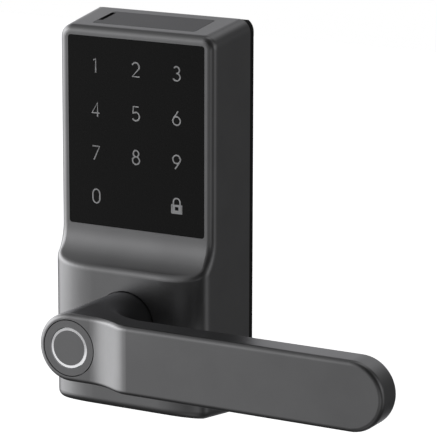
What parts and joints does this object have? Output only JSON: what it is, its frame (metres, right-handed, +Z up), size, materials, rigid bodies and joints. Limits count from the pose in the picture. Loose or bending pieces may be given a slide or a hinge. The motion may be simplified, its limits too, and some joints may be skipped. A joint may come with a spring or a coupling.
{
  "type": "keypad smart lock",
  "caption": "Slim metal keypad lock for a door, with a touch panel, a battery lid in its sloping top and a long lever with a round fingerprint sensor.",
  "frame": {"origin": "on the lever's axis, in the face that lies against the door", "axes": "+X right seen from the front, along the lever; +Y into the door; +Z up"},
  "size_m": [0.1611, 0.1255, 0.1486],
  "materials": {
    "housing_metal": "satin gunmetal",
    "lever_metal": "satin gunmetal",
    "panel_black": "gloss",
    "lid_grey": "fine satin",
    "gasket_rubber": "matte",
    "sensor_metal": "fine satin",
    "light_white": "translucent",
    "sensor_face": "satin",
    "steel": "bright zinc",
    "brass": "plain",
    "board": "solder mask",
    "tray_black": "moulded",
    "clear_plastic": "frosted",
    "cell_wrap": "printed sleeve"
  },
  "bodies": {
    "housing": {"front_housing": "housing_metal", "keypad_panel": "panel_black", "panel_seal": "gasket_rubber", "light_guide": "clear_plastic", "touch_board": "board", "board_screws": "steel", "board_standoffs": "brass", "main_board": "board", "buzzer": "tray_black", "battery_tray": "tray_black", "battery_cells": "cell_wrap", "cell_contacts": "steel", "rear_gasket": "gasket_rubber", "rear_plate": "steel", "plate_screws": "steel", "mounting_posts": "steel", "lever_bush": "brass", "return_spring": "steel", "mechanism_plate": "steel", "mechanism_screws": "steel"},
    "lever": {"lever_handle": "lever_metal", "fingerprint_bezel": "sensor_metal", "light_ring": "light_white", "sensor_window": "sensor_face", "sensor_board": "board", "lever_shank": "steel", "lever_screw": "steel", "drive_hub": "steel", "hub_screws": "steel", "motor_bracket": "tray_black", "clutch_motor": "steel"},
    "clutch_screw": {"clutch_screw": "brass"},
    "clutch_pin": {"clutch_pin": "steel"},
    "spindle": {"clutch_sleeve": "steel", "sleeve_clip": "steel", "spindle": "steel"},
    "lid": {"battery_lid": "lid_grey", "lid_seal": "gasket_rubber", "lid_contacts": "steel"}
  },
  "joints": [
    {"name": "lever_turn", "type": "hinge", "parent": "housing", "child": "lever", "pos_m": [0, 0, 0], "axis": [0, 1, 0], "range_deg": [0, 50], "stiffness_Nm_per_rad": 1, "springref_deg": -34.38},
    {"name": "spindle_turn", "type": "hinge", "parent": "housing", "child": "spindle", "pos_m": [0, 0, 0], "axis": [0, 1, 0], "range_deg": [0, 50]},
    {"name": "clutch_screw_turn", "type": "hinge", "parent": "lever", "child": "clutch_screw", "pos_m": [0, -0.0168, 0.015], "axis": [0, 0, -1], "range_deg": [0, 900]},
    {"name": "clutch_pin_slide", "type": "slide", "parent": "lever", "child": "clutch_pin", "axis": [0, 0, -1], "range_m": [0, 0.0025]},
    {"name": "lid_lift", "type": "slide", "parent": "housing", "child": "lid", "axis": [0, 0, 1], "range_m": [0, 0.025]}
  ],
  "couplings": [
    {"joint": "spindle_turn", "follows": "lever_turn", "ratio": 1},
    {"joint": "clutch_screw_turn", "follows": "clutch_pin_slide", "rad_per_m": 6283}
  ]
}
